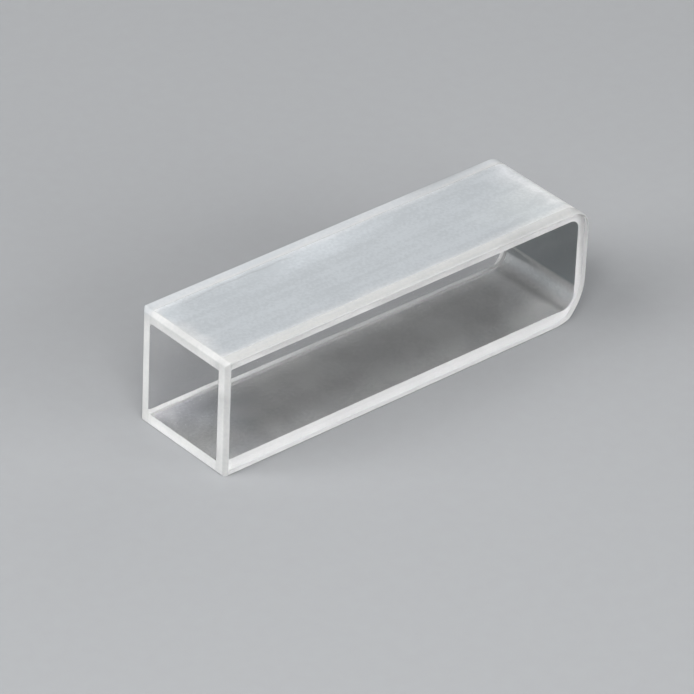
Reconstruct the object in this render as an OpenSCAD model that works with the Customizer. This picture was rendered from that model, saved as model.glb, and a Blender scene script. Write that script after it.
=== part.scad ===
/* [Body] */
// Overall length from the mouth rim to the outside of the base
body_l = 45; // [30:1:60]
// Height over the two frosted side walls
body_h = 12.5; // [8:0.5:16]
// Clear distance between the two windows, which is the optical path
light_path = 10; // [5:0.5:20]

/* [Glass thickness] */
// Thickness of each clear window
window_t = 1.25; // [0.8:0.05:2]
// Thickness of each frosted side wall
wall_t = 1.25; // [0.9:0.05:2]
// Thickness of the base
base_t = 0.85; // [0.7:0.05:2]

/* [Well corners] */
// Radius inside the well where the base turns into the upper wall
well_upper_r = 1.1; // [0.5:0.1:3]
// Radius inside the well where the base turns into the lower wall
well_lower_r = 1.4; // [1:0.1:3]

/* [Base corners] */
// Outside radius where the base turns into the upper wall
upper_r = 2.2; // [1:0.1:3]
// Radius of the two shallow sweeps ground over the lower corner
sweep_r = 6; // [5:0.5:9]
// Distance of the crest between the two sweeps from the outside of the base
crest_in = 1.8; // [1:0.1:2.2]
// Height of that crest above the underside
crest_up = 0.38; // [0.2:0.02:0.6]

/* [Ground edges] */
// Chamfer round the outside of the mouth rim, except along its lower side
rim_chamfer = 0.45; // [0.1:0.05:0.7]
// Softened arris along the lower side of the mouth and the other outer edges of the windows
arris = 0.15; // [0.05:0.05:0.3]

/* [Hidden] */

$fn = 96;

// The windows cover the open sides of the frame, so their thickness adds to the path
body_w = light_path + 2 * window_t;
// Ends of the body along its length, with the origin at mid length
mouth_x = -body_l / 2;
base_x = body_l / 2;
// The well reaches from the mouth to the inside of the base
well_l = body_l - base_t;
well_h = body_h - 2 * wall_t;
// Centre of the sweep that runs up the base, set so that it passes through the crest
// and leaves the flat of the base without a step
rise_z = crest_up + sqrt(pow(sweep_r, 2) - pow(sweep_r - crest_in, 2));
// The same for the sweep that runs along the underside
run_in = crest_in + sqrt(pow(sweep_r, 2) - pow(sweep_r - crest_up, 2));
// How far a cutting shape runs past the surface that it cuts
past = 1;

// Rectangle centred on the origin, with its corners cut off: the two on the left of the
// page by upper_cut and lower_cut, and the two on the right by base_cut
module cut_rectangle(l, w, upper_cut, lower_cut, base_cut) {
    polygon([
        [-l / 2, w / 2 - upper_cut], [-l / 2, lower_cut - w / 2],
        [lower_cut - l / 2, -w / 2], [l / 2 - base_cut, -w / 2],
        [l / 2, base_cut - w / 2], [l / 2, w / 2 - base_cut],
        [l / 2 - base_cut, w / 2], [upper_cut - l / 2, w / 2]
    ]);
}

// Plain bar of the overall size, with the rim chamfer at the mouth and the arris elsewhere
module bar() {
    intersection() {
        // seen from above
        linear_extrude(body_h)
            cut_rectangle(body_l, body_w, rim_chamfer, rim_chamfer, arris);
        // seen from the side, where the corners at the base are shaped later
        translate([0, body_w / 2, body_h / 2])
            rotate([90, 0, 0])
                linear_extrude(body_w)
                    cut_rectangle(body_l, body_h, rim_chamfer, arris, 0);
        // seen along the body
        translate([mouth_x, 0, body_h / 2])
            rotate([90, 0, 90])
                linear_extrude(body_l)
                    cut_rectangle(body_w, body_h, arris, arris, arris);
    }
}

// Rod across the body with the arris turned on both ends, used to round the corners
module rod(r) {
    rotate([90, 0, 0]) {
        cylinder(h = body_w - 2 * arris, r = r, center = true);
        for (side = [0, 1])
            mirror([0, 0, side])
                translate([0, 0, body_w / 2 - arris])
                    cylinder(h = arris, r1 = r, r2 = r - arris);
    }
}

// Glass that is taken off the upper corner at the base
module upper_corner_waste() {
    difference() {
        translate([base_x - upper_r, -body_w / 2 - past, body_h - upper_r])
            cube([upper_r + past, body_w + 2 * past, upper_r + past]);
        translate([base_x - upper_r, 0, body_h - upper_r])
            rod(upper_r);
    }
}

// Glass that is taken off the lower corner, outside both sweeps
module lower_corner_waste() {
    difference() {
        translate([base_x - run_in, -body_w / 2 - past, -past])
            cube([run_in + past, body_w + 2 * past, rise_z + past]);
        intersection() {
            translate([base_x - sweep_r, 0, rise_z])
                rod(sweep_r);
            translate([base_x - run_in, 0, sweep_r])
                rod(sweep_r);
        }
    }
}

// Outside of the finished cell, which all three pieces are ground to together
module outside() {
    difference() {
        bar();
        upper_corner_waste();
        lower_corner_waste();
    }
}

// Sharp corner outside a quarter circle, with the corner at the origin
module corner_fill(r) {
    difference() {
        square(r);
        translate([r, r])
            circle(r);
    }
}

// Section of the well in X and Z, open past the mouth and rounded at the base
module well_section() {
    difference() {
        translate([mouth_x - past, wall_t])
            square([well_l + past, well_h]);
        translate([mouth_x + well_l, wall_t])
            mirror([1, 0])
                corner_fill(well_lower_r);
        translate([mouth_x + well_l, wall_t + well_h])
            rotate(180)
                corner_fill(well_upper_r);
    }
}

// Slab of the outside between two distances across the body
module slice(from_y, to_y) {
    intersection() {
        outside();
        translate([mouth_x - past, from_y, -past])
            cube([body_l + 2 * past, to_y - from_y, body_h + 2 * past]);
    }
}

// Two frosted side walls and the base, one bent piece of glass
module u_frame() {
    color([0.86, 0.88, 0.89])
        difference() {
            slice(-light_path / 2, light_path / 2);
            translate([0, light_path / 2 + past, 0])
                rotate([90, 0, 0])
                    linear_extrude(light_path + 2 * past)
                        well_section();
        }
}

// Clear polished plate fused over the near open side of the frame
module front_window() {
    color([0.74, 0.80, 0.82])
        slice(-body_w / 2 - past, -light_path / 2);
}

// Clear polished plate fused over the far open side of the frame
module rear_window() {
    color([0.66, 0.74, 0.78])
        slice(light_path / 2, body_w / 2 + past);
}

u_frame();
front_window();
rear_window();
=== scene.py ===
"""Looks of a square glass cell: a frosted frame bent to a U, and two clear windows fused over its open sides.

The three pieces of glass are rebuilt as closed meshes with softened edges, so that light bends through them
as it does through the real cell. All sizes here are in millimetres, and the meshes are made in metres.
"""

import math

import bpy
import numpy as np
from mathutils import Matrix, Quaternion, Vector


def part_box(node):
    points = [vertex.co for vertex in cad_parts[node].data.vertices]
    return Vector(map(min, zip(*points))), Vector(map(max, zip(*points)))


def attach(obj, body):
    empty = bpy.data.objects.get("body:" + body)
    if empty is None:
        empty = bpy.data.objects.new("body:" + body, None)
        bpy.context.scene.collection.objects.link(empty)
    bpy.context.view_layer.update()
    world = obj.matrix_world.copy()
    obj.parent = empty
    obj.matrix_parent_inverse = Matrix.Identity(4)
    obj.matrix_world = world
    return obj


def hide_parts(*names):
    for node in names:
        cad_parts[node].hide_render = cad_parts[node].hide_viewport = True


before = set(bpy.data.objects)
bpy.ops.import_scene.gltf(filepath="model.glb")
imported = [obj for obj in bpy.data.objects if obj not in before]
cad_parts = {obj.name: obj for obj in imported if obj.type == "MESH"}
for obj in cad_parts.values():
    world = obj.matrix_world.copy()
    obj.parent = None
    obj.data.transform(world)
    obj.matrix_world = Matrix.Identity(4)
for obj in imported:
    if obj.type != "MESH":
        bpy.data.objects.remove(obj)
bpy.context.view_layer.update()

MM = 0.001

# ---------------------------------------------------------------- sizes

FRAME_LOW, FRAME_HIGH = (np.array(corner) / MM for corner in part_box("u_frame"))
MOUTH_X, BASE_X = FRAME_LOW[0], FRAME_HIGH[0]
BODY_H = FRAME_HIGH[2]
HALF_PATH = FRAME_HIGH[1]
HALF_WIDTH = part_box("rear_window")[1][1] / MM

WALL = 1.25  # side walls of the frame
BASE = 0.85  # base of the frame
WELL_LOWER_R = 1.4  # inside the well, from the base to the lower wall
WELL_UPPER_R = 1.1  # inside the well, from the base to the upper wall
UPPER_R = 2.2  # outside corner at the base, upper
SWEEP_R = 6.0  # each of the two shallow sweeps ground over the lower corner
CREST_IN, CREST_UP = 1.8, 0.38  # where the two sweeps meet, from the base end and from the underside
CREST_R = 0.5  # the crest itself is rubbed round
RIM_CHAMFER = 0.45  # round the outside of the mouth, except along its lower side
ARRIS = 0.15  # along that side and the other outer edges of the windows
SEAM_EDGE = 0.012  # softened edge on each side of a fused seam
FRONT_BEAD = 0.03  # bead of sintered glass powder in the well, along the front window
REAR_BEAD = 0.3  # the same along the rear window, at the mouth
REAR_BEAD_TAPER = 0.35  # share of its height that is left at the base
SEAM_GAP = 0.005  # thin skin of air in the seam, which is why the ground face under a window looks white
SOFTNESS = 1.35  # 1 cuts a chamfer flat and 2 rounds it off like a quarter circle
MIDDLE_Z = BODY_H / 2

# Points round each corner of the outline, from the mouth over the two sweeps and the crest to the top.
MOUTH_POINTS = 10
RUN_POINTS, CREST_POINTS, RISE_POINTS, UPPER_POINTS = 18, 12, 24, 28

# Depths below a face of the rings that shape its edge, closer together where the edge curves most. The
# last one of each lies past the edge, on the flat wall.
SEAM_STEPS = SEAM_EDGE * np.append(np.linspace(0, 1, 5) ** 2, 2.0)
CHAMFER_STEPS = RIM_CHAMFER * np.append(np.linspace(0, 1, 18) ** 2, 1.2)
BEAD_STEPS = REAR_BEAD * np.append(np.linspace(0.35, 1, 7) ** 2, 1.3)

FROSTED, BONDED, INSIDE, RIM, SEAM = range(5)  # material slots of the bent frame
POLISHED, GROUND = range(2)  # material slots of a window

# ---------------------------------------------------------------- shapes


def softened(depth, size):
    """How far an edge is set back at each depth below the face that it borders.

    The section is |1 - back / size|^p + |1 - depth / size|^p = 1 with p = SOFTNESS, a chamfer with
    rounded ends. At depth 0 the edge is set back by its full size, and from depth = size on by nothing.
    """
    up = 1 - np.clip(np.asarray(depth, float) / size, 0, 1)
    return size * (1 - (1 - up**SOFTNESS) ** (1 / SOFTNESS))


def sweep_centres():
    """Centres in X and Z of the sweep up the base, the sweep along the underside and the crest between them.

    Each sweep leaves its own flat face without a step, and both pass through the crest point. The crest's
    own centre lies where circles of radius SWEEP_R - CREST_R round the two sweeps' centres cross: from the
    middle between these, square to the line that joins them, down towards the corner.
    """
    rise = np.array([BASE_X - SWEEP_R, CREST_UP + math.sqrt(SWEEP_R**2 - (SWEEP_R - CREST_IN) ** 2)])
    run = np.array([BASE_X - CREST_IN - math.sqrt(SWEEP_R**2 - (SWEEP_R - CREST_UP) ** 2), SWEEP_R])
    across = rise - run
    half = np.linalg.norm(across) / 2
    outwards = np.array([-across[1], across[0]]) / (2 * half)
    crest = (rise + run) / 2 + outwards * math.sqrt((SWEEP_R - CREST_R) ** 2 - half**2)
    return rise, run, crest


def heading(to, start):
    """Angle of the line from start to the point to, in radians."""
    return math.atan2(to[1] - start[1], to[0] - start[0])


def corner_arcs():
    """The four arcs round the base, from the underside to the top: centre, radius and the points' angles."""
    rise, run, crest = sweep_centres()
    crest_from, crest_to = heading(crest, run), heading(crest, rise)
    upper = np.array([BASE_X - UPPER_R, BODY_H - UPPER_R])
    return [
        (run, SWEEP_R, np.linspace(-math.pi / 2, crest_from, RUN_POINTS)),
        (crest, CREST_R, np.linspace(crest_from, crest_to, CREST_POINTS)[1:-1]),
        (rise, SWEEP_R, np.linspace(crest_to, 0.0, RISE_POINTS)),
        (upper, UPPER_R, np.linspace(0.0, math.pi / 2, UPPER_POINTS)),
    ]


def outline(mouth_back, edge_back):
    """Outline of the cell in X and Z, once for each pair of set-backs: an array of rings x points x 2.

    It runs from the lower end of the mouth along the underside, round the base and back along the top. An
    arc's point at angle a is centre + (radius - set-back) * (cos a, sin a). At the mouth each corner is a
    softened chamfer, x = k (1 - cos(t)^q) and z = k (1 - sin(t)^q) with q = 2 / SOFTNESS, whose size k
    shrinks as the set-backs grow: only an arris below, and the rim's chamfer above. The mouth and the
    straight sides are the lines between these points.
    """
    mouth_back, edge_back = (np.asarray(v, float).reshape(-1, 1) for v in (mouth_back, edge_back))
    turn = np.linspace(0, math.pi / 2, MOUTH_POINTS)
    corners = []
    for size in (ARRIS, RIM_CHAMFER):
        cut = np.maximum(size - mouth_back - edge_back, SEAM_EDGE / 2)
        in_x = MOUTH_X + mouth_back + cut * (1 - np.abs(np.cos(turn)) ** (2 / SOFTNESS))
        in_z = edge_back + cut * (1 - np.abs(np.sin(turn)) ** (2 / SOFTNESS))
        corners.append((in_x, in_z))
    columns = [corners[0]]
    for centre, radius, angle in corner_arcs():
        reach = radius - edge_back
        columns.append((centre[0] + reach * np.cos(angle), centre[1] + reach * np.sin(angle)))
    in_x, in_z = corners[1]
    columns.append((in_x[:, ::-1], BODY_H - in_z[:, ::-1]))
    return np.concatenate([np.stack(column, -1) for column in columns], axis=1)


def well_path(mouth_back, bead, taper):
    """The well's section in X and Z, point for point beside outline(): rings x points x 2.

    Under the mouth corners it keeps to the wall's inner face. The three arcs over the lower corner become
    one arc of WELL_LOWER_R, and the upper corner one of WELL_UPPER_R. bead is how far each ring stands into
    the well because of the beads along the windows, at the mouth, and taper the share of it at the base.
    """
    mouth_back, bead, taper = (np.asarray(v, float).reshape(-1, 1) for v in (mouth_back, bead, taper))
    low, high, inner_x = WALL, BODY_H - WALL, BASE_X - BASE
    counts = [len(arc[2]) for arc in corner_arcs()]
    rim_x = MOUTH_X + mouth_back + RIM_CHAMFER * np.linspace(0, 1, MOUTH_POINTS)
    columns = [(rim_x, low + bead + 0 * rim_x)]
    for radius, centre_z, first, count in (
        (WELL_LOWER_R, low + WELL_LOWER_R, -math.pi / 2, sum(counts[:3])),
        (WELL_UPPER_R, high - WELL_UPPER_R, 0.0, counts[3]),
    ):
        angle = np.linspace(first, first + math.pi / 2, count)
        reach = radius - bead * taper
        columns.append((inner_x - radius + reach * np.cos(angle), centre_z + reach * np.sin(angle)))
    columns.append((rim_x[:, ::-1], high - bead + 0 * rim_x))
    return np.concatenate([np.stack(column, -1) for column in columns], axis=1)


def straight_columns():
    """Which step from one outline point to the next is a straight side, and not part of a corner."""
    counts = [MOUTH_POINTS] + [len(arc[2]) for arc in corner_arcs()] + [MOUTH_POINTS]
    ends = np.cumsum(counts)[:-1] - 1
    flat = np.zeros(sum(counts), bool)
    flat[ends[[0, 3, 4]]] = True  # underside, base and top
    flat[-1] = True  # the mouth
    return flat


def band(rows, columns):
    """Quads of a tube of rows x columns points whose columns close on themselves, as an array of indices."""
    at = np.arange(rows * columns).reshape(rows, columns)
    on = np.roll(at, -1, axis=1)
    return np.stack([at[:-1], on[:-1], on[1:], at[1:]], -1)


def piece(name, points, groups, materials):
    """A closed mesh in metres from points in millimetres. groups holds (faces, slot, smooth)."""
    mesh = bpy.data.meshes.new(name)
    faces = [face for group, _, _ in groups for face in np.asarray(group).tolist()]
    mesh.from_pydata((points * MM).tolist(), [], faces)
    slots = np.concatenate([np.full(len(group), slot) for group, slot, _ in groups])
    smooth = np.concatenate([np.full(len(group), soft) for group, _, soft in groups])
    mesh.polygons.foreach_set("material_index", slots.astype(np.int32))
    mesh.polygons.foreach_set("use_smooth", smooth)
    for material in materials:
        mesh.materials.append(material)
    mesh.update()
    made = bpy.data.objects.new(name, mesh)
    bpy.context.scene.collection.objects.link(made)
    return made


def window(name, side, polished, ground):
    """A clear plate: rings of the outline, set back where an edge is softened, between two flat faces.

    side is -1 for the front plate and 1 for the rear one. The rings run from the seam outwards.
    """
    thick = HALF_WIDTH - HALF_PATH
    depth = np.concatenate([SEAM_STEPS, thick - CHAMFER_STEPS[::-1]])
    seam_back = softened(depth, SEAM_EDGE)
    rings = outline(
        np.maximum(seam_back, softened(thick - depth, RIM_CHAMFER)),
        np.maximum(seam_back, softened(thick - depth, ARRIS)),
    )
    rows, columns = rings.shape[:2]
    y = side * (HALF_PATH + depth)
    points = np.stack([rings[..., 0], np.broadcast_to(y[:, None], (rows, columns)), rings[..., 1]], -1)
    edge = band(rows, columns)
    inner, outer = np.arange(columns), (rows - 1) * columns + np.arange(columns)
    if side < 0:
        inner = inner[::-1]
    else:
        edge, outer = edge[..., ::-1], outer[::-1]
    return piece(
        name,
        points.reshape(-1, 3),
        [(edge.reshape(-1, 4), GROUND, True), (inner[None], POLISHED, False), (outer[None], POLISHED, False)],
        [polished, ground],
    )


def u_frame(name, frosted, bonded, inside, rim, seam):
    """The bent frame: its U section, outline() outside and well_path() inside, carried across the cell.

    The rings lie close together at the seams, where they also shape the beads: a bead rises from the wall
    with the same section as a softened edge, to its full height at the window.
    """
    half = HALF_PATH - SEAM_GAP
    near_seam = np.concatenate([SEAM_STEPS[:-1], BEAD_STEPS])
    depth = np.concatenate([near_seam, near_seam[::-1]])
    y = np.concatenate([near_seam - half, half - near_seam[::-1]])
    seam_back = softened(depth, SEAM_EDGE)
    outside = outline(seam_back, seam_back)
    bead = np.concatenate([softened(near_seam, FRONT_BEAD), softened(near_seam, REAR_BEAD)[::-1]])
    taper = np.where(y < 0, 1.0, REAR_BEAD_TAPER)
    well = well_path(seam_back, bead, taper)
    rows, half_columns = outside.shape[:2]
    section = np.concatenate([outside, well[:, ::-1]], axis=1)
    columns = 2 * half_columns
    points = np.stack([section[..., 0], np.broadcast_to(y[:, None], (rows, columns)), section[..., 1]], -1)
    walls = band(rows, columns)
    middle = rows // 2 - 1
    is_flat = np.zeros((rows - 1, columns), bool)
    straight = straight_columns()[:-1]
    is_flat[middle, : half_columns - 1] = straight
    is_flat[middle, half_columns:-1] = straight[::-1]
    is_flat[:, [half_columns - 1, -1]] = True  # the two ends of the rim
    slot = np.full((rows - 1, columns), FROSTED)
    slot[:, half_columns:-1] = np.where(np.maximum(bead[:-1], bead[1:]) > 0, SEAM, INSIDE)[:, None]
    slot[:, [half_columns - 1, -1]] = RIM
    slot[:, : MOUTH_POINTS - 1] = RIM
    slot[:, half_columns - MOUTH_POINTS : half_columns - 1] = RIM
    out, into = np.arange(half_columns), columns - 1 - np.arange(half_columns)
    near = np.stack([out[1:], into[1:], into[:-1], out[:-1]], -1)
    far = near[:, ::-1] + (rows - 1) * columns
    groups = [(near, BONDED, False), (far, BONDED, False)]
    for number in (FROSTED, INSIDE, RIM, SEAM):
        for flat in (False, True):
            groups.append((walls[(slot == number) & (is_flat == flat)][:, ::-1], number, not flat))
    return piece(name, points.reshape(-1, 3), groups, [frosted, bonded, inside, rim, seam])


# ---------------------------------------------------------------- materials


def linear(code):
    """An sRGB hex colour as linear red, green, blue and 1."""
    parts = [int(code[i : i + 2], 16) / 255 for i in (0, 2, 4)]
    return [c / 12.92 if c <= 0.04045 else ((c + 0.055) / 1.055) ** 2.4 for c in parts] + [1.0]


def add(tree, kind, values=None, links=None, **properties):
    """Adds a shader node: sets its properties and its sockets' values, and links sockets to other outputs."""
    node = tree.nodes.new("ShaderNode" + kind)
    for name, value in properties.items():
        setattr(node, name, value)
    for socket, value in (values or {}).items():
        node.inputs[socket].default_value = value
    for socket, source in (links or {}).items():
        tree.links.new(source, node.inputs[socket])
    return node


def blank(name):
    """A material with an empty node tree, and the tree."""
    material = bpy.data.materials.new(name)
    material.use_nodes = True
    material.node_tree.nodes.clear()
    return material, material.node_tree


MIX_A, MIX_B, MIX_OUT = 6, 7, 2  # the colour sockets of a Mix node
NOISE_LOW, NOISE_HIGH = 0.3, 0.7  # nearly all values of a noise lie between these

GLASS_IOR = 1.47  # optical glass and fused silica lie between 1.46 and 1.52
GRIT = 0.3  # real chips are about 0.03 mm, too fine to show, so they are drawn ten times as coarse
BEAD_GRIT = 0.15  # the grains of sintered powder, drawn coarser for the same reason
RELIEF = 0.02  # how deep the chips are
CLOUDS = 6.0  # size of the cloudy places, where the grinding went a little more or less deep
STROKE_WIDTH, STROKE_SHAPE = 0.9, 0.06  # width of a stroke of the lap, and its width over its length
WAVER, WAVER_REACH = 5.0, (7.0, 1.2, 2.0)  # size of the waves in a patch's outline, and how far they reach
OUTER_SHARES = 0.6, 0.35, 0.5  # how much chips, clouds and strokes swing the tint of the outer side
INNER_SHARES = 0.45, 0.9  # and how much chips and clouds do from within, where strokes don't show
ROUGH_SWING = 0.06  # how much the clouds swing the roughness
EDGE_SHADE_FROM, EDGE_SHADE_TO = 0.1, 0.6  # slope towards a window from which an edge gets painted shade, and where it is full


def patched(tree, place, tint, patches):
    """The tint made lighter or darker inside soft oval patches of the surface.

    A patch is its centre and half sizes in millimetres, the factor on the tint in its middle, as one number
    or one each for red, green and blue, and its strength. The factor fades out smoothly until the scaled
    distance from the centre is 1. A strength above 1 makes it hold over the middle of the patch.
    """
    for centre, reach, factor, strength in patches:
        local = add(
            tree,
            "Mapping",
            {
                "Location": [-c / r for c, r in zip(centre, reach)],
                "Scale": [1 / (r * MM) for r in reach],
            },
            {"Vector": place},
        )
        away = add(tree, "VectorMath", links={0: local.outputs[0]}, operation="LENGTH")
        weight = add(
            tree,
            "MapRange",
            {"From Min": 1.0, "From Max": 0.0, "To Min": 0.0, "To Max": strength},
            {"Value": away.outputs["Value"]},
            interpolation_type="SMOOTHSTEP",
        )
        changed = add(
            tree,
            "Mix",
            {MIX_B: [*(np.ones(3) * factor).tolist(), 1.0]},
            {"Factor": weight.outputs[0], MIX_A: tint},
            data_type="RGBA",
            blend_type="MULTIPLY",
        )
        tint = changed.outputs[MIX_OUT]
    return tint


def wavering(tree, place):
    """The place moved about by a slow noise, mostly lengthwise, so that patches get uneven outlines."""
    noise = add(tree, "TexNoise", {"Scale": 1 / (WAVER * MM), "Detail": 2.0}, {"Vector": place})
    centred = add(tree, "VectorMath", {1: (0.5, 0.5, 0.5)}, {0: noise.outputs["Color"]}, operation="SUBTRACT")
    shift = add(
        tree,
        "VectorMath",
        {1: [reach * MM for reach in WAVER_REACH]},
        {0: centred.outputs[0]},
        operation="MULTIPLY",
    )
    return add(tree, "VectorMath", links={0: place, 1: shift.outputs[0]}, operation="ADD").outputs[0]


def mottled(tree, shares):
    """Half, plus each noise's swing to both sides of it by its share: where a tint lies between its ends."""
    mottle = None
    for noise, share in shares:
        swing = add(
            tree,
            "MapRange",
            {"From Min": NOISE_LOW, "From Max": NOISE_HIGH, "To Min": -share, "To Max": share},
            {"Value": noise.outputs[0]},
        )
        total = add(tree, "Math", {1: 0.5}, {0: swing.outputs[0]}, operation="ADD")
        if mottle:
            tree.links.new(mottle, total.inputs[1])
        mottle = total.outputs[0]
    return mottle


def ground_glass(name, outside, within, rough, clear, grit, patches=(), within_patches=(), painted_edge_shade=1.0):
    """Glass ground matt with loose grit: thousands of tiny chips scatter the light, so it looks white.

    outside holds the two ends of its cloudy variation, and within is its whiter colour where it is seen
    through the glass: painted light for the light that the chips send back inside. rough is the middle of
    its roughness, clear the share of light that passes through it, and grit the size of the chips in
    millimetres. patches and within_patches list places that are lighter or darker, most of them painted
    light and shade where light gathers or fades inside the glass. painted_edge_shade is the factor on the
    edges round the outer faces: painted shade, which keeps them from shining where they turn to the lamps.
    """
    material, tree = blank(name)
    texture = add(tree, "TexCoord")
    place = texture.outputs["Object"]
    chips = add(tree, "TexNoise", {"Scale": 1 / (grit * MM), "Detail": 2.0}, {"Vector": place})
    clouds = add(tree, "TexNoise", {"Scale": 1 / (CLOUDS * MM), "Detail": 4.0}, {"Vector": place})
    drawn = add(tree, "Mapping", {"Scale": (STROKE_SHAPE, 1.0, 1.0)}, {"Vector": place})
    strokes = add(
        tree,
        "TexNoise",
        {"Scale": 1 / (STROKE_WIDTH * MM), "Detail": 3.0},
        {"Vector": drawn.outputs[0]},
    )
    outer_mottle = mottled(tree, zip((chips, clouds, strokes), OUTER_SHARES))
    inner_mottle = mottled(tree, zip((chips, clouds), INNER_SHARES))
    # The slope towards a window is nothing on a wall, and grows over an edge.
    facing = add(tree, "SeparateXYZ", links={0: texture.outputs["Normal"]})
    slant = add(tree, "Math", links={0: facing.outputs["Y"]}, operation="ABSOLUTE")
    edge = add(
        tree,
        "MapRange",
        {"From Min": EDGE_SHADE_FROM, "From Max": EDGE_SHADE_TO, "To Min": 1.0, "To Max": painted_edge_shade},
        {"Value": slant.outputs[0]},
        interpolation_type="SMOOTHSTEP",
    )
    colours = []
    for (dark, light), mottle, where, places in (
        (outside, outer_mottle, wavering(tree, place), patches),
        (within, inner_mottle, place, within_patches),
    ):
        tint = add(
            tree,
            "Mix",
            {MIX_A: linear(dark), MIX_B: linear(light)},
            {"Factor": mottle},
            data_type="RGBA",
        )
        colours.append(patched(tree, where, tint.outputs[MIX_OUT], places))
    # painted shade on the edges, where they turn towards the lamps
    edge_shaded = add(tree, "VectorMath", links={0: colours[0], "Scale": edge.outputs[0]}, operation="SCALE")
    # painted light: the whiter colour where the surface is seen from within the glass
    side = add(tree, "NewGeometry").outputs["Backfacing"]
    colour = add(
        tree,
        "Mix",
        links={"Factor": side, MIX_A: edge_shaded.outputs[0], MIX_B: colours[1]},
        data_type="RGBA",
    )
    smoothest, roughest = rough - ROUGH_SWING, rough + ROUGH_SWING
    roughness = add(
        tree,
        "MapRange",
        {"From Min": NOISE_LOW, "From Max": NOISE_HIGH, "To Min": smoothest, "To Max": roughest},
        {"Value": clouds.outputs[0]},
    )
    relief = add(tree, "Bump", {"Strength": 0.35, "Distance": RELIEF * MM}, {"Height": chips.outputs[0]})
    shader = add(
        tree,
        "BsdfPrincipled",
        {"IOR": GLASS_IOR, "Transmission Weight": clear},
        {
            "Base Color": colour.outputs[MIX_OUT],
            "Roughness": roughness.outputs[0],
            "Normal": relief.outputs[0],
        },
    )
    add(tree, "OutputMaterial", links={"Surface": shader.outputs[0]})
    return material


def polished_glass(name, tint, smooth, haze):
    """Glass polished clear: a sharp shine and a clear view through it, with a faint haze left by wiping.

    smooth and haze are its roughness where it is clean and where it is smeared. The smears are about 5.5 mm
    long and 1.1 mm wide, and slope a little, as a cloth leaves them.
    """
    material, tree = blank(name)
    place = add(tree, "TexCoord").outputs["Object"]
    wiped = add(
        tree,
        "Mapping",
        {"Scale": (60.0, 300.0, 300.0), "Rotation": (0.0, math.radians(20), 0.0)},
        {"Vector": place},
    )
    smear = add(tree, "TexNoise", {"Scale": 3.0, "Detail": 5.0}, {"Vector": wiped.outputs[0]})
    roughness = add(
        tree,
        "MapRange",
        {"From Min": 0.45, "From Max": 0.8, "To Min": smooth, "To Max": haze},
        {"Value": smear.outputs[0]},
    )
    shader = add(
        tree,
        "BsdfPrincipled",
        {"Base Color": linear(tint), "IOR": GLASS_IOR, "Transmission Weight": 1.0},
        {"Roughness": roughness.outputs[0]},
    )
    add(tree, "OutputMaterial", links={"Surface": shader.outputs[0]})
    return material


FAR = 1000.0  # a half size that carries a patch the whole way across

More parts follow.
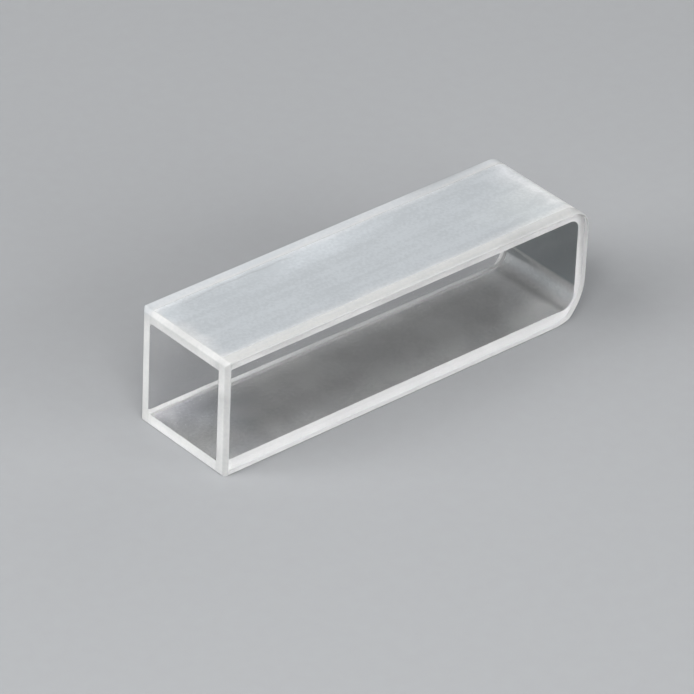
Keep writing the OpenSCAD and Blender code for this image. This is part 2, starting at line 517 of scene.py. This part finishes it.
# Optical glass with its outer walls ground matt on a lap with loose grit. The chips scatter the light, so the
# wall looks white and veils what lies behind it, with soft clouds and faint long strokes.
frosted_wall = ground_glass(
    "frosted_wall_glass",
    outside=("AEB3B7", "B9BEC2"),
    within=("B9B9B9", "CFCFCE"),
    rough=0.6,
    clear=0.35,
    grit=GRIT,
    patches=(
        # painted sheen along the rear half of the wall, lighter over most of it and a little darker towards
        # the base
        ((-3.5, 3.6, BODY_H), (11.5, 2.2, 6.0), 1.2, 1.1),
        ((-20.5, 3.6, BODY_H), (3.0, 2.2, 6.0), 1.15, 0.8),
        ((14.5, 4.2, BODY_H), (7.0, 2.2, 4.0), 0.91, 0.8),
        # painted light towards the base and over its upper corner
        ((20.0, -4.0, BODY_H), (10.0, 8.0, 6.0), (1.21, 1.2, 1.17), 1.6),
        ((23.0, 0.0, BODY_H + 0.5), (5.4, 30.0, 3.0), (1.19, 1.16, 1.15), 2.0),
        ((24.0, 0.0, BODY_H), (4.6, 30.0, 2.5), (1.36, 1.34, 1.33), 2.0),
        # painted light along the mouth and beside both windows, where light comes in at the mouth and through
        # the windows
        ((MOUTH_X, 0.0, BODY_H), (2.6, 20.0, 6.0), (1.32, 1.26, 1.22), 0.9),
        ((0.0, -5.3, BODY_H), (FAR, 1.2, 4.0), (1.32, 1.26, 1.22), 0.8),
        ((0.0, 5.3, BODY_H), (FAR, 1.1, 4.0), (1.32, 1.28, 1.26), 0.8),
        # a thin dull line beside the rear window, and a lighter place near the front one
        ((-12.0, 4.32, BODY_H), (9.0, 0.2, 4.0), 0.82, 0.9),
        ((17.5, -4.2, BODY_H), (3.5, 1.3, 2.0), 1.07, 1.2),
    ),
    within_patches=(
        # painted light beside the windows, where light comes in through the clear glass
        ((0.0, -5.6, 0.0), (FAR, 5.2, 9.0), 1.85, 1.0),
        ((0.0, 5.4, MIDDLE_Z), (FAR, 2.4, 20.0), 1.4, 0.8),
        ((0.0, 5.4, 0.0), (FAR, 2.9, 3.0), 1.3, 1.0),
        # painted light and shade on the lower wall towards the mouth: lighter and a little lilac towards the
        # rear, and darker in a slanting strip further in
        ((MOUTH_X, 6.0, 0.0), (10.0, 5.0, 2.0), (1.11, 1.09, 1.12), 1.2),
        ((-14.0, -2.5, 0.0), (5.0, 7.5, 3.0), 0.74, 1.3),
        ((-18.0, 3.0, 0.0), (6.0, 5.0, 3.0), (1.02, 1.05, 1.11), 1.0),
        ((-13.5, 2.6, 0.0), (3.6, 2.8, 3.0), (0.78, 0.79, 0.81), 1.1),
        ((-16.2, -0.8, 0.0), (3.0, 3.4, 3.0), (0.81, 0.82, 0.84), 1.2),
        ((-18.4, -3.6, 0.0), (4.0, 2.6, 3.0), (0.69, 0.7, 0.72), 1.2),
        # painted light at the end of the lower wall and in the corner above the crest, with a painted shadow
        # line between
        ((20.5, -5.0, 0.0), (7.0, 9.0, 2.0), 1.65, 1.0),
        ((20.0, 0.0, 0.0), (2.6, 20.0, 2.0), 1.18, 1.2),
        ((20.85, -2.0, 0.4), (1.05, 18.0, 1.0), 0.5, 1.0),
        ((21.85, 0.0, 1.95), (0.8, 20.0, 1.4), (1.5, 1.56, 1.59), 1.0),
        # painted shade on the base, much darker and a little bluish from within
        ((22.6, 0.0, 10.0), (1.8, FAR, 7.23), (0.29, 0.34, 0.355), 60.0),
        ((22.4, 6.5, 2.75), (1.5, 7.5, 0.55), (0.4, 0.42, 0.44), 3.0),
    ),
)

# The same glass where the windows are fused to it, ground flat and left matt. Behind a clear window it shows
# as an even white band.
bonded_face = ground_glass(
    "bonded_ground_glass",
    outside=("D8D8D8", "DEDEDE"),
    within=("FDFDFD", "FEFEFE"),
    rough=0.7,
    clear=0.1,
    grit=GRIT,
    patches=(
        # painted shade along the top and up the base, with a few places of painted light
        ((0.0, -HALF_PATH, BODY_H), (FAR, 1.0, 1.7), 0.82, 1.5),
        ((BASE_X, -HALF_PATH, 10.0), (1.4, 1.0, 5.0), 0.78, 1.0),
        ((13.0, -HALF_PATH, BODY_H), (8.0, 1.0, 0.5), 1.1, 1.0),
        ((BASE_X, -HALF_PATH, 3.2), (2.0, 1.0, 2.5), 1.1, 1.0),
        ((16.0, -HALF_PATH, 0.6), (6.0, 1.0, 2.0), 0.92, 1.0),
    ),
)

# Glass powder sintered in the well's corners as the windows were fused on. It is full of tiny bubbles, so it
# shows as a soft milky line.
seam_bead = ground_glass(
    "sintered_glass_bead",
    outside=("B8B8B8", "C6C6C6"),
    within=("FDFDFD", "FEFEFE"),
    rough=0.7,
    clear=0.1,
    grit=BEAD_GRIT,
    patches=(
        # painted light and shade along the bead: lightest between the mouth and the middle, and darker at
        # both ends
        ((-12.0, HALF_PATH, 0.0), (14.0, 5.0, 9.0), 1.25, 1.0),
        ((MOUTH_X, HALF_PATH, 0.0), (5.0, 5.0, 9.0), 0.85, 1.0),
        ((20.5, HALF_PATH, 5.0), (4.0, 5.0, 9.0), 0.75, 1.0),
    ),
)

# The edges of the windows and the rim of the mouth, ground together after fusing, their arrises softened.
# They look an even soft white, with painted shade on the arrises to keep them from shining, and patches of
# painted light and shade.
window_edge = ground_glass(
    "window_edge_ground_glass",
    outside=("AFB0B0", "B6B6B5"),
    within=("FDFDFD", "FEFEFE"),
    rough=0.7,
    clear=0.1,
    grit=GRIT,
    patches=(
        # painted light on the rim of the mouth, low down and up its sides, and painted shade along the top
        ((MOUTH_X, 0.0, 0.3), (3.0, 9.0, 2.5), 1.14, 1.0),
        ((MOUTH_X, 3.0, 0.6), (2.0, 5.0, 1.0), 1.09, 1.0),
        ((MOUTH_X, -5.6, 3.5), (2.0, 1.5, 3.0), 1.08, 1.0),
        ((MOUTH_X, 5.6, 4.0), (2.0, 1.5, 5.0), 1.06, 1.0),
        ((MOUTH_X, 0.0, 11.9), (1.5, 9.0, 1.2), 0.87, 1.0),
        # painted shade along the front window's upper edge, with painted light near the base
        ((0.0, -5.7, BODY_H), (FAR, 1.3, 1.2), 0.95, 1.0),
        ((13.0, -HALF_WIDTH, BODY_H), (5.5, 1.2, 1.0), 0.9, 1.3),
        ((19.0, -HALF_WIDTH, BODY_H), (3.0, 1.2, 0.3), 1.1, 1.0),
        # painted shade on the rear window's upper edge, a little bluish, and on the front window's upper
        # corner at the base
        ((15.5, HALF_WIDTH, BODY_H), (7.0, 0.7, 1.0), 0.82, 1.3),
        ((BASE_X, -HALF_WIDTH, BODY_H - 1.0), (3.0, 1.2, 2.5), 0.8, 1.5),
        ((0.0, 6.0, BODY_H), (FAR, 1.5, 1.2), (0.97, 1.0, 1.04), 1.5),
        ((14.0, 5.6, BODY_H), (7.0, 1.6, 1.6), 0.88, 1.0),
        # painted light on both windows at the base and up the front window's base end, and painted shade on
        # the two upper corners at the mouth
        ((BASE_X, 0.0, BODY_H), (4.0, 20.0, 4.0), 1.15, 1.0),
        ((MOUTH_X, -5.6, 11.5), (1.5, 1.5, 7.0), 0.69, 1.1),
        ((MOUTH_X, 5.8, 12.0), (1.5, 1.5, 2.5), 0.84, 1.0),
        ((BASE_X, -HALF_WIDTH, 8.5), (1.5, 1.5, 7.0), 1.09, 1.0),
    ),
    # painted shade on the arrises
    painted_edge_shade=0.73,
)

# The windows' faces, lapped and polished until they are optically flat: a sharp shine and a clear view.
window_face = polished_glass("window_polished_glass", "FDFDFD", smooth=0.0, haze=0.02)

# The inside of the well, fire polished as the frame was bent: smooth but not flat, so its shine is softer.
well_face = polished_glass("well_fire_polished_glass", "FDFDFD", smooth=0.16, haze=0.22)

# ---------------------------------------------------------------- pieces

frame_piece = u_frame("bent_frame", frosted_wall, bonded_face, well_face, window_edge, seam_bead)
front_piece = window("clear_front_window", -1, window_face, window_edge)
rear_piece = window("clear_rear_window", 1, window_face, window_edge)

for made, node, slot in (
    (frame_piece, "u_frame", "frosted_glass"),
    (front_piece, "front_window", "polished_glass"),
    (rear_piece, "rear_window", "polished_glass"),
):
    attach(made, "root")
    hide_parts(node)

# ---------------------------------------------------------------- studio

FLOOR_REACH, FLOOR_DROP = 2500.0, 0.02  # half the paper's side, and the hair of air under the cell
FIBRE = 1.5  # spacing of the paper's fibres, drawn coarser than real ones so that they show
LAMP_DISTANCE, LAMP_SIZE = 900.0, 540.0
LAMPS = (  # name, azimuth and elevation in degrees, and watts
    ("left", -110.0, 45.0, 5.3),
    ("low_left", -110.0, 15.0, 5.6),
    ("over_camera", -42.0, 45.0, 7.1),
    ("front", -10.0, 15.0, 4.8),
    ("low_right", 25.0, 15.0, 7.2),
    ("back_right", 110.0, 15.0, 1.4),
)
ROOM_COLOUR, ROOM_STRENGTH = "F0F2F5", 0.083  # the faint light from all round


def floor_material():
    """Matt paper: a pale even grey with a trace of fibre."""
    material, tree = blank("pale_matt_paper")
    place = add(tree, "TexCoord").outputs["Object"]
    fibre = add(tree, "TexNoise", {"Scale": 1 / (FIBRE * MM), "Detail": 3.0}, {"Vector": place})
    tint = add(
        tree,
        "Mix",
        {MIX_A: linear("8E8F91"), MIX_B: linear("919395")},
        {"Factor": fibre.outputs[0]},
        data_type="RGBA",
    )
    shader = add(tree, "BsdfPrincipled", {"Roughness": 0.9}, {"Base Color": tint.outputs[MIX_OUT]})
    add(tree, "OutputMaterial", links={"Surface": shader.outputs[0]})
    return material


def studio_floor():
    """A flat sheet of paper a hair under the cell."""
    corners = FLOOR_REACH * np.array([[-1, -1], [1, -1], [1, 1], [-1, 1]])
    points = np.column_stack([corners, np.full(4, -FLOOR_DROP)])
    floor = piece("floor", points, [(np.array([[0, 1, 2, 3]]), 0, False)], [floor_material()])


def direction(azimuth, elevation):
    """The way to a viewer or a lamp, of length 1.

    The azimuth turns from the front, -Y, towards +X, and the elevation rises from level, both in degrees.
    """
    turn, rise = math.radians(azimuth), math.radians(elevation)
    return Vector((math.sin(turn) * math.cos(rise), -math.cos(turn) * math.cos(rise), math.sin(rise)))


def lamp(name, azimuth, elevation, watts):
    """A soft square lamp in that direction from the middle of the cell, turned towards it."""
    light = bpy.data.lights.new(name, "AREA")
    light.shape = "SQUARE"
    light.size = LAMP_SIZE * MM
    light.energy = watts
    back = direction(azimuth, elevation)
    made = bpy.data.objects.new(name, light)
    made.location = (Vector((0.0, 0.0, MIDDLE_Z)) + back * LAMP_DISTANCE) * MM
    made.rotation_euler = back.to_track_quat("Z", "Y").to_euler()
    bpy.context.scene.collection.objects.link(made)


def camera(aim, azimuth, elevation, distance, roll, lens):
    """A camera that looks at aim from that direction and distance, turned on its own axis by roll degrees."""
    back = direction(azimuth, elevation)
    data = bpy.data.cameras.new("camera")
    data.lens = lens
    data.sensor_width = 36.0
    data.clip_start, data.clip_end = 0.01, 20.0
    made = bpy.data.objects.new("camera", data)
    made.rotation_mode = "QUATERNION"
    made.location = (Vector(aim) + back * distance) * MM
    made.rotation_quaternion = (-back).to_track_quat("-Z", "Y") @ Quaternion((0, 0, 1), math.radians(roll))
    bpy.context.scene.collection.objects.link(made)
    bpy.context.scene.camera = made


studio_floor()

for lamp_row in LAMPS:
    lamp(*lamp_row)

world = bpy.data.worlds.new("studio")
bpy.context.scene.world = world
world.use_nodes = True
room = world.node_tree.nodes["Background"]
room.inputs["Color"].default_value = linear(ROOM_COLOUR)
room.inputs["Strength"].default_value = ROOM_STRENGTH

bpy.context.scene.view_settings.view_transform = "Standard"

# From the left and above, far off and with a long lens, so that the far end looks hardly smaller.
camera(
    aim=(-5.53, -3.49, MIDDLE_Z),
    azimuth=-41.99,
    elevation=33.25,
    distance=529.77,
    roll=2.51,
    lens=293.56,
)
